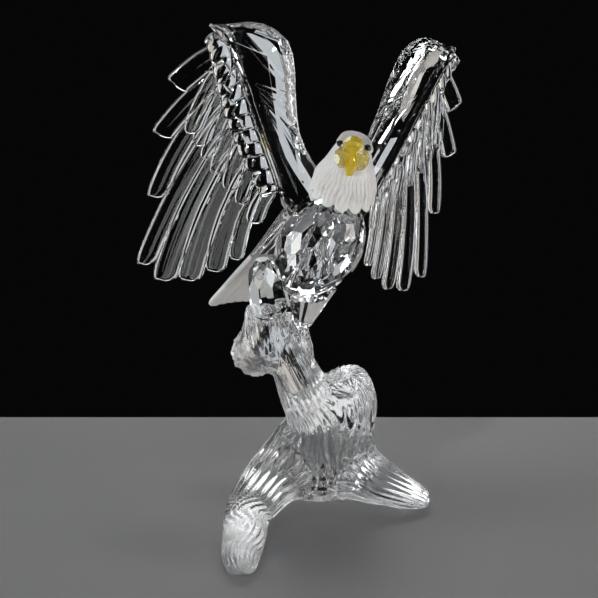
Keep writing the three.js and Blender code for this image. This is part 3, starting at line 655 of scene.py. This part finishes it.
def spline(points, t):
    """Points along a smooth curve through given points, for each share of its way in t."""
    p = np.asarray(points, float)
    count = len(p) - 1
    at = np.clip(np.asarray(t, float), 0, 1) * count
    i = np.minimum(at.astype(int), count - 1)
    u = (at - i)[:, None]
    p0, p1, p2, p3 = p[np.maximum(i - 1, 0)], p[i], p[i + 1], p[np.minimum(i + 2, count)]
    m1, m2 = (p2 - p0) / 2, (p3 - p1) / 2
    return ((2 * u**3 - 3 * u**2 + 1) * p1 + (u**3 - 2 * u**2 + u) * m1
            + (3 * u**2 - 2 * u**3) * p2 + (u**3 - u**2) * m2)


def blade(name, feather, thickness, shaft, matrix, rings=64, curl=0.0, slant=0.2, tip_share=0.08):
    """A feather: a flat slab with a rounded rim and a shaft groove, set out from its outer edge."""
    root, bend, tip, width, rounding, lift = feather
    thing = ball(name, 32, rings)
    way, angle = round_ball(thing)
    root, bend, tip = (np.array(p, float) for p in (root, bend, tip))
    t = way[:, None]
    edge = (1 - t) ** 2 * root + 2 * t * (1 - t) * bend + t**2 * tip
    along = 2 * (1 - t) * (bend - root) + 2 * t * (tip - bend)
    along /= np.linalg.norm(along, axis=1, keepdims=True)
    side = np.stack([along[:, 1], -along[:, 0]], 1)
    close = np.clip((1 - way) / tip_share, 0, 1)
    full = ROOT_WIDTH + ROOT_GAIN * np.clip(way / ROOT_LENGTH, 0, 1)
    full = full * np.sqrt(np.clip(1 - (1 - close) ** 2, 0, 1))
    full = np.where(way < 0.02, 0.0, full)
    start = width * rounding * (1 - full) * (way > 0.5) + width * 0.5 * (1 - full) * (way <= 0.5)
    across = (1 - np.cos(angle)) / 2
    face = np.sin(angle)
    inset = np.clip(np.minimum(across, 1 - across) * width * full / FEATHER_RIM, 0, 1)
    crown = np.sqrt(1 - (1 - inset) ** 2) * (1 - FACE_CROWN * (2 * across - 1) ** 2)
    body = thickness * (1 - TIP_THINNING * way) * np.sign(face) * crown
    groove = shaft * np.exp(-((across - SHAFT_PLACE) / SHAFT_WIDTH) ** 2) * (face > 0) * np.clip(full, 0, 1)
    reach = start + across * width * full
    x = edge[:, 0] + side[:, 0] * reach
    z = edge[:, 1] + side[:, 1] * reach
    bowl = curl * (np.clip(x - WING_CURL_START, 0, None) / WING_CURL_REACH) ** 2
    y = lift - bowl - body + groove - slant * (reach - width / 2)
    set_points(thing, carried(np.stack([x, y, z], 1), matrix))
    outward(thing)
    return thing


def cushion_strip(name, cushions, matrix):
    """The bar between a wing's arm and its feathers, pinched into a row of rounded cushions."""
    thing = ball(name, 40, cushions * 14)
    way, angle = round_ball(thing)
    inner, outer = spline(STRIP_ARM_SIDE, way), spline(STRIP_FEATHER_SIDE, way)
    heading = (outer - inner) / np.linalg.norm(outer - inner, axis=1, keepdims=True)
    swell = np.abs(np.sin(np.pi * cushions * way)) ** 0.8
    close = np.sqrt(1 - (1 - np.clip(np.minimum(way, 1 - way) / 0.03, 0, 1)) ** 2)
    across = (1 - np.cos(angle)) / 2
    spread = 0.5 + (across - 0.5) * close
    reach = inner - heading * 0.8 + (outer - inner + heading * (1.1 + 0.6 * swell)[:, None]) * spread[:, None]
    face = np.sin(angle)
    half = close * (STRIP_HALF + STRIP_SWELL * swell) * np.sign(face) * np.abs(face) ** 0.75
    set_points(thing, carried(np.stack([reach[:, 0], STRIP_LIFT - half, reach[:, 1]], 1), matrix))
    outward(thing)
    return thing


# Pieces


class EAGLE_OT_cut_stones(bpy.types.Operator):
    """Give the body and the thighs their clear polished crystal"""

    bl_idname = "eagle.cut_stones"
    bl_label = "Cut stones"

    def execute(self, context):
        for node in ("body", "right_thigh", "left_thigh"):
            stone = frame["nodes"][node]
            stone.data.materials.clear()
            stone.data.materials.append(cut_crystal())
        return {"FINISHED"}


class EAGLE_OT_wing_arms(bpy.types.Operator):
    """Cut each wing's arm: its solid's facets, with a row of shallow scoops ground into the bevel behind"""

    bl_idname = "eagle.wing_arms"
    bl_label = "Wing arms"

    def execute(self, context):
        size = sizes()
        edge = spline(ARM_BACK_EDGE, np.linspace(0, 1, 400))
        length = np.concatenate([[0], np.cumsum(np.linalg.norm(np.diff(edge, axis=0), axis=1))])
        count = int(length[-1] / size.scoop_spacing)
        for side, matrix in (("left", LEFT_WING), ("right", RIGHT_WING)):
            arm = seat(f"{side}_wing_arm", 0)
            arm.name = f"{side}_cut_arm"
            arm.data.name = arm.name
            for i in range(count):
                at = (i + 0.5 + SCOOP_UNEVENNESS * math.sin(1.7 * i)) * size.scoop_spacing
                x, z = (np.interp(at, length, edge[:, k]) for k in (0, 1))
                after, before = ([np.interp(at + s, length, edge[:, k]) for k in (0, 1)] for s in (0.4, -0.4))
                heading = math.atan2(after[1] - before[1], after[0] - before[0])
                scoop = ball(f"scoop_{i}", 32, 20)
                local = points_of(scoop) * SCOOP_RADII
                c, n = math.cos(heading), math.sin(heading)
                stand = SCOOP_RADII[1] - size.scoop_depth
                x, z = x + n * stand * math.sin(BACK_BEVEL), z - c * stand * math.sin(BACK_BEVEL)
                y = BACK_BEVEL_MIDDLE + stand * math.cos(BACK_BEVEL)
                placed = np.stack([x + local[:, 0] * c - local[:, 2] * n, local[:, 1] + y,
                                   z + local[:, 0] * n + local[:, 2] * c], 1)
                set_points(scoop, carried(placed, matrix))
                outward(scoop)
                cut(arm, scoop)
            drop_crumbs(arm)
            finished(arm, cut_crystal(), (f"{side}_wing_arm",), smooth=12)
        return {"FINISHED"}


class EAGLE_OT_wing_feathers(bpy.types.Operator):
    """Press each wing's panel of feathers: long blades, short ones over them and a ribbed strip by the arm"""

    bl_idname = "eagle.wing_feathers"
    bl_label = "Wing feathers"

    def execute(self, context):
        size = sizes()
        for side, matrix in (("left", LEFT_WING), ("right", RIGHT_WING)):
            blades = []
            for i, feather in enumerate(PRIMARIES):
                blades.append(blade(
                    f"{side}_long_{i}", feather, size.blade_thickness, size.shaft_depth, matrix,
                    curl=WING_CURL))
            for i, feather in enumerate(COVERTS):
                blades.append(blade(
                    f"{side}_short_{i}", feather, size.covert_thickness, size.shaft_depth, matrix,
                    rings=48, curl=WING_CURL, slant=0.24, tip_share=0.16))
            blades.append(cushion_strip(f"{side}_strip", size.strip_ribs, matrix))
            panel = fused_by_union(blades, f"{side}_wing_plumage")
            cut(panel, seat(f"{side}_wing_arm", GLUE_GAP), seat("body", GLUE_GAP))
            drop_crumbs(panel)
            finished(panel, cut_crystal(), (f"{side}_wing_feathers",), smooth=35)
        return {"FINISHED"}


class EAGLE_OT_head(bpy.types.Operator):
    """Mould the frosted head, with its fluted cape and the scalloped hem over the breast"""

    bl_idname = "eagle.head"
    bl_label = "Head and cape"

    def execute(self, context):
        size = sizes()
        count = size.cape_feathers
        head = ball("frosted_head", count * 18, 110)
        way, angle = round_ball(head)
        shaped = spline(HEAD_PROFILE, np.clip((way - HEM_SHARE) / (1 - HEM_SHARE), 0, 1))
        z, radius = shaped[:, 0], np.maximum(shaped[:, 1], 0)
        radius = np.where(way < HEM_SHARE, HEAD_PROFILE[0][1] * way / HEM_SHARE, radius)
        face_turn = math.radians(HEAD_TURN - 90)
        brow = 0
        for side in (-1, 1):
            away = angle - face_turn - side * math.radians(BROW_ANGLE)
            brow = brow + np.exp(-(np.arctan2(np.sin(away), np.cos(away)) / BROW_WIDTH) ** 2)
        ridge = np.exp(-((z - BROW_HEIGHT) / 0.9) ** 2) + 0.2 * np.exp(-((z - FACE_HEIGHT) / 2.0) ** 2)
        radius = radius * (1 + BROW_SWELL * brow * ridge * (way > HEM_SHARE))
        feather = np.abs(np.cos(count * angle / 2)) ** 0.7
        fine = np.abs(np.cos(1.5 * count * angle + 0.5 * np.sin(z * 0.8 + 3 * angle))) ** 0.8
        low = np.clip(1 - z / 7.0, 0, 1)
        middle = np.clip(np.minimum((z - 0.2) / 2.5, (12.0 - z) / 4), 0, 1)
        skin = size.cape_flute * ((feather - 1) * low + 0.8 * (fine - 1) * middle)
        step = 0.35 * np.clip((z - 3.6 - 0.9 * np.cos(count * angle + np.pi)) * 1.6, 0, 1)
        step = step * np.clip((9 - z) / 4, 0, 1)
        closing = radius + skin * way / HEM_SHARE
        radius = np.where(way > HEM_SHARE, np.maximum(radius + skin + step, 0), closing)
        hem = np.clip(1 - (z + 0.6) / 5.0, 0, 1)
        z = z - hem * (2.0 * (feather - 0.6) + 0.05 * radius * np.cos(angle))
        y = radius * np.sin(angle) * (1 + 0.08 * np.clip((z - 11) / 3, 0, 1))
        set_points(head, carried(np.stack([radius * np.cos(angle), y, z], 1), NECK))
        outward(head)
        cut(head, seat("body", GLUE_GAP), seat("beak", BEAK_GAP), seat("left_eye", EYE_GAP),
            seat("right_eye", EYE_GAP), seat("left_wing_arm", GLUE_GAP), seat("right_wing_arm", GLUE_GAP))
        drop_crumbs(head)
        finished(head, frosted_crystal(), ("head",), smooth=50)
        return {"FINISHED"}


class EAGLE_OT_beak_and_eyes(bpy.types.Operator):
    """Colour the yellow crystal beak and polish the black glass eyes"""

    bl_idname = "eagle.beak_and_eyes"
    bl_label = "Beak and eyes"

    def execute(self, context):
        beak = frame["nodes"]["beak"]
        beak.data.materials.clear()
        beak.data.materials.append(yellow_crystal())
        for side in ("left", "right"):
            low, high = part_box(f"{side}_eye")
            eye = ball(f"{side}_eye_bead", 32, 24)
            middle = np.array((low + high) / 2)
            radius = min(high - low) / 2
            set_points(eye, points_of(eye) * radius * 0.98 + middle)
            outward(eye)
            finished(eye, black_glass(), (f"{side}_eye",))
        return {"FINISHED"}


class EAGLE_OT_tail(bpy.types.Operator):
    """Mould the frosted tail fan, one grooved feather beside the other"""

    bl_idname = "eagle.tail"
    bl_label = "Tail"

    def execute(self, context):
        size = sizes()
        count = size.tail_feathers
        feathers = []
        for i in range(count):
            u = (i + 0.5) / count * 2 - 1
            width = TAIL_FEATHER_WIDTH
            root = np.array([u * TAIL_ROOT_HALF, TAIL_ROOT_END])
            tip = np.array([u * TAIL_TIP_HALF, TAIL_TIP_END + TAIL_TIP_ARCH * u * u])
            slope = tip - root
            side = np.array([slope[1], -slope[0]]) / np.linalg.norm(slope)
            root, tip = root - side * width / 2, tip - side * width / 2 * 0.78
            feather = (tuple(root), tuple((root + tip) / 2), tuple(tip), width, 0.3, TAIL_ARCH * u * u)
            feathers.append(blade(
                f"tail_feather_{i}", feather, size.tail_thickness, 0.3, TAIL, slant=0.16, tip_share=0.06))
        wedge = ball("tail_root", 32, 24)
        way, angle = round_ball(wedge)
        z = WEDGE_START + way * WEDGE_LENGTH
        half = WEDGE_HALF + WEDGE_SPREAD * way
        thick = 4.2 * (1 - way) ** 0.8 + 0.6
        closing = np.sqrt(np.clip(np.sin(np.pi * way) * 6, 0, 1))
        c, s = np.cos(angle), np.sin(angle)
        x = half * np.sign(c) * np.abs(c) ** 0.5 * closing
        y = thick * np.sign(s) * np.abs(s) ** 0.6 * closing + 0.6
        set_points(wedge, carried(np.stack([x, y, z], 1), TAIL))
        outward(wedge)
        fan = fused_by_union(feathers + [wedge], "frosted_tail")
        cut(fan, seat("body", GLUE_GAP))
        drop_crumbs(fan)
        finished(fan, frosted_crystal(), ("tail",), smooth=40)
        fan.data.materials.append(cut_crystal())
        inverse = TAIL.inverted()
        for face in fan.data.polygons:
            if (inverse @ (face.center / MM)).z < CLEAR_TAIL_ROOT:
                face.material_index = 1
        return {"FINISHED"}


def limb(name, stations):
    """A smooth round limb through its stations, rounded off at both ends."""
    thing = ball(name, 40, 64)
    way, angle = round_ball(thing)
    at = np.array(stations, float)
    share = np.linspace(0, 1, len(at))
    centre = spline(at[:, :3], way)
    step = spline(at[:, :3], np.clip(way + 0.01, 0, 1)) - spline(at[:, :3], np.clip(way - 0.01, 0, 1))
    step /= np.linalg.norm(step, axis=1, keepdims=True)
    across = np.cross(np.array([0, 1, 0.001]), step)
    across /= np.linalg.norm(across, axis=1, keepdims=True)
    up = np.cross(step, across)
    close = np.clip(np.minimum(way, 1 - way) / 0.1, 0, 1)
    radius = np.interp(way, share, at[:, 3]) * np.sqrt(1 - (1 - close) ** 2)
    ring = np.cos(angle)[:, None] * across + np.sin(angle)[:, None] * up
    set_points(thing, (centre + ring * radius[:, None]) * MM)
    outward(thing)
    return thing


def limb_fields(points):
    """How far each limb is from points in millimetres, the angle round it, the way along it, its radius."""
    found = {}
    for name, stations in LIMBS.items():
        at = np.array(stations, float)
        share = np.linspace(0, 1, AXIS_POINTS)
        line = spline(at[:, :3], share)
        reached = np.concatenate([[0], np.cumsum(np.linalg.norm(np.diff(line, axis=0), axis=1))])
        trimmed = END_ROUNDING - END_REACH
        share = np.linspace(*np.interp((trimmed, reached[-1] - trimmed), reached, share), AXIS_POINTS)
        line = spline(at[:, :3], share)
        radii = np.interp(share, np.linspace(0, 1, len(at)), at[:, 3])
        tangent = np.gradient(line, axis=0)
        tangent /= np.linalg.norm(tangent, axis=1, keepdims=True)
        across = np.cross(np.array([0, 1, 0.001]), tangent)
        across /= np.linalg.norm(across, axis=1, keepdims=True)
        up = np.cross(tangent, across)
        length = np.concatenate([[0], np.cumsum(np.linalg.norm(np.diff(line, axis=0), axis=1))])
        reach = radii.max() + 6
        near = ((points > line.min(0) - reach) & (points < line.max(0) + reach)).all(1)
        gap, angle, way, radius = (np.full(len(points), v, float) for v in (99, 0, 0, 1))
        some = points[near]
        i = np.concatenate([
            ((part[:, None, :] - line[None]) ** 2).sum(2).argmin(1) for part in np.array_split(some, 24)])
        off = some - line[i]
        ahead = (off * tangent[i]).sum(1)
        beyond = np.where(i == 0, np.minimum(ahead, 0), 0)
        beyond = beyond + np.where(i == AXIS_POINTS - 1, np.maximum(ahead, 0), 0)
        s_near = np.clip(length[i] + ahead - beyond, 0, length[-1])
        radius[near] = np.interp(s_near, length, radii)
        level = off - (ahead - beyond * radius[near] / END_ROUNDING)[:, None] * tangent[i]
        gap[near] = np.linalg.norm(level, axis=1) - radius[near]
        angle[near] = np.arctan2((off * up[i]).sum(1), (off * across[i]).sum(1))
        way[near] = s_near
        found[name] = (gap, angle, way, radius)
    return found


def fused(thing):
    """Draws a skin onto the limbs' common surface, with soft creases where they meet."""
    for _ in range(SKIN_PASSES):
        points = points_of(thing) / MM
        softness = np.interp(points[:, 2], JOIN_HEIGHTS, JOIN_SOFTNESS)
        fields = limb_fields(points)
        depth = -softness * np.log(sum(np.exp(-np.clip(f[0], -9, 60) / softness) for f in fields.values()))
        step = np.clip(depth, -SKIN_STEP, SKIN_STEP)
        set_points(thing, (points - normals_of(thing) * step[:, None]) * MM)
    return fields


def grain(points, scale):
    """Smooth seeded noise at each point."""
    return np.array([noise.noise(Vector(p)) for p in points * scale])


def bark(points, fields):
    """How far the bark stands out from the limbs' surface at each point, in millimetres."""
    warp = grain(points, np.array([0.09, 0.09, 0.045]))
    total, weight = np.zeros(len(points)), np.zeros(len(points))
    for name, (gap, angle, way, radius) in fields.items():
        near = np.exp(-np.clip(gap, -6, 30) / BARK_BLEND)
        close = near > 0.02
        count, deep = FLUTES[name]
        a, w, r = angle[close], way[close], radius[close]
        ring = np.stack([np.cos(a) * r * 0.42, np.sin(a) * r * 0.42, w * 0.055 + count], 1)
        split = grain(ring, 1.0)
        wave = np.cos(count * a + 0.05 * w + FLUTE_WANDER * warp[close] + FLUTE_SPLIT * split)
        flute = deep * np.clip(r / 11, 0.3, 1.1) * (0.5 * wave - 0.15)
        total[close] += near[close] * flute
        weight[close] += near[close]
    return total / np.maximum(weight, 0.001)


class EAGLE_OT_stump(bpy.types.Operator):
    """Press the stump: flowing bark over the trunk and roots, rough breaks, and the bird's feet"""

    bl_idname = "eagle.stump"
    bl_label = "Stump"

    def execute(self, context):
        stump = joined([limb(name, stations) for name, stations in LIMBS.items()], "glass_stump")
        apply(stump, "REMESH", mode="VOXEL", voxel_size=SKIN_CELL, use_smooth_shade=True)
        apply(stump, "SMOOTH", factor=0.5, iterations=SKIN_SMOOTHING)
        fields = fused(stump)
        points = points_of(stump) / MM
        front = np.clip(0.6 - normals_of(stump)[:, 1], 0, 1)
        depth = bark(points, fields) * sizes().bark_flute * (FLUTE_ROUND + FLUTE_FRONT * front)
        away = np.linalg.norm(points - np.array(BROKEN_BRANCH), axis=1)
        rough = np.clip(1 - away / BROKEN_REACH, 0, 1) ** 0.5
        gritty = rough > 0
        grit = np.zeros(len(points))
        broken = points[gritty]
        grit[gritty] = grain(broken, 0.36) + 1.5 * np.abs(grain(broken, 0.7)) - 0.45
        set_points(stump, (points + normals_of(stump) * (depth + rough * grit)[:, None]) * MM)
        apply(stump, "SMOOTH", factor=0.3, iterations=1)
        breaks = [egg("hollow", 48, 32, HOLLOW_RADII, HOLLOW_MIDDLE)]
        breaks += [egg("nick", 24, 16, radius, (x, y, z)) for x, y, z, radius in RIM_BREAKS]
        deselect()
        bpy.ops.mesh.primitive_cube_add(size=1.0, location=(0, 0, -0.02), scale=(0.3, 0.3, 0.04))
        ground = context.active_object
        choose(ground)
        bpy.ops.object.transform_apply(location=True, rotation=True, scale=True)
        cut(stump, ground, *breaks, seat("right_thigh", GLUE_GAP, True), seat("left_thigh", GLUE_GAP, True),
            seat("body", GLUE_GAP, True))
        drop_crumbs(stump)
        finished(stump, pressed_crystal(), ("stump",), smooth=45)
        stump.data.materials.append(ground_glass())
        for face in stump.data.polygons:
            if face.normal.z < UNDERSIDE_SLOPE and face.center.z < UNDERSIDE_HEIGHT:
                face.material_index = 1
        return {"FINISHED"}


def put_light(name, light, place, aim=None):
    """A lamp in the scene, turned to what it shines on."""
    lamp = bpy.data.objects.new(name, light)
    lamp.location = place
    if aim:
        lamp.rotation_euler = (Vector(aim) - Vector(place)).to_track_quat("-Z", "Y").to_euler()
    bpy.context.collection.objects.link(lamp)
    return lamp


class EAGLE_OT_stage(bpy.types.Operator):
    """Set up the pale table, the soft lights and the camera at the photograph's angle"""

    bl_idname = "eagle.stage"
    bl_label = "Stage, lights and camera"

    def execute(self, context):
        studio = context.scene.eagle_studio
        deselect()
        bpy.ops.mesh.primitive_cube_add(
            size=1.0, location=TABLE_PLACE, scale=(studio.table_width, studio.table_depth, TABLE_THICKNESS))
        floor = context.active_object
        floor.name = "table_top"
        choose(floor)
        bpy.ops.object.transform_apply(location=True, rotation=True, scale=True)
        made, tree, shader = shader_material("table top", Base_Color=colours().floor, Roughness=0.5)
        add_skin(tree, shader, scale=900.0, strength=0.05, distance=0.0001)
        floor.data.materials.append(made)
        world = bpy.data.worlds.new("studio")
        context.scene.world = world
        world.use_nodes = True
        world.node_tree.nodes["Background"].inputs["Color"].default_value = (0.002, 0.002, 0.002, 1)
        for name, place, width, height, watts, tint in BOXES:
            light = bpy.data.lights.new(name, "AREA")
            light.shape = "RECTANGLE"
            light.size, light.size_y = width, height
            light.energy = watts * studio.light
            light.color = tint
            put_light(name, light, place, LOOK_AT)
        for name, x, y, long, wide, heading, share in GLOWS:
            light = bpy.data.lights.new(name, "AREA")
            light.shape = "ELLIPSE"
            light.size, light.size_y = long * MM, wide * MM
            light.energy = share * studio.glow * math.pi * math.pi / 4 * light.size * light.size_y
            lamp = put_light(name, light, (x * MM, y * MM, GLOW_DEPTH))
            lamp.rotation_euler = (math.pi, 0, math.radians(-heading))
            lamp.visible_camera = False
        for name, place, watts in SPOTS:
            light = bpy.data.lights.new(name, "SPOT")
            light.energy = watts * studio.light
            light.spot_size = math.radians(SPOT_ANGLE)
            light.spot_blend = 0.35
            light.shadow_soft_size = 0.04
            put_light(name, light, place, SPOT_AIM)
        rise = math.radians(studio.elevation)
        camera = bpy.data.cameras.new("camera")
        camera.lens = studio.lens
        camera.sensor_width = 36.0
        camera.clip_start, camera.clip_end = 0.01, 20.0
        eye = bpy.data.objects.new("camera", camera)
        eye.location = Vector(LOOK_AT) + studio.distance * Vector((0, -math.cos(rise), math.sin(rise)))
        eye.rotation_euler = (math.radians(90) - rise, 0, 0)
        context.collection.objects.link(eye)
        context.scene.camera = eye
        context.scene.cycles.max_bounces = BOUNCES
        context.scene.cycles.transmission_bounces = BOUNCES
        context.scene.cycles.glossy_bounces = GLOSSY_BOUNCES
        context.scene.view_settings.view_transform = "Standard"
        return {"FINISHED"}


STEPS = (
    EAGLE_OT_cut_stones,
    EAGLE_OT_wing_arms,
    EAGLE_OT_stump,
    EAGLE_OT_wing_feathers,
    EAGLE_OT_head,
    EAGLE_OT_beak_and_eyes,
    EAGLE_OT_tail,
    EAGLE_OT_stage,
)


class EAGLE_PT_panel(bpy.types.Panel):
    """The figurine's sizes, colours and steps"""

    bl_idname = "EAGLE_PT_panel"
    bl_label = "Crystal eagle"
    bl_space_type = "VIEW_3D"
    bl_region_type = "UI"
    bl_category = "Crystal eagle"

    def draw(self, context):
        layout = self.layout
        for group in (context.scene.eagle_sizes, context.scene.eagle_colours, context.scene.eagle_studio):
            box = layout.box()
            for name in group.__annotations__:
                box.prop(group, name)
        for step in STEPS:
            layout.operator(step.bl_idname)


CLASSES = (EagleSizes, EagleColours, EagleStudio, *STEPS, EAGLE_PT_panel)


def register():
    for kind in CLASSES:
        bpy.utils.register_class(kind)
    bpy.types.Scene.eagle_sizes = PointerProperty(type=EagleSizes)
    bpy.types.Scene.eagle_colours = PointerProperty(type=EagleColours)
    bpy.types.Scene.eagle_studio = PointerProperty(type=EagleStudio)


def unregister():
    del bpy.types.Scene.eagle_sizes
    del bpy.types.Scene.eagle_colours
    del bpy.types.Scene.eagle_studio
    for kind in reversed(CLASSES):
        bpy.utils.unregister_class(kind)


def main():
    register()
    bpy.ops.eagle.cut_stones()
    bpy.ops.eagle.wing_arms()
    bpy.ops.eagle.stump()
    bpy.ops.eagle.wing_feathers()
    bpy.ops.eagle.head()
    bpy.ops.eagle.beak_and_eyes()
    bpy.ops.eagle.tail()
    bpy.ops.eagle.stage()


if __name__ == "__main__":
    main()
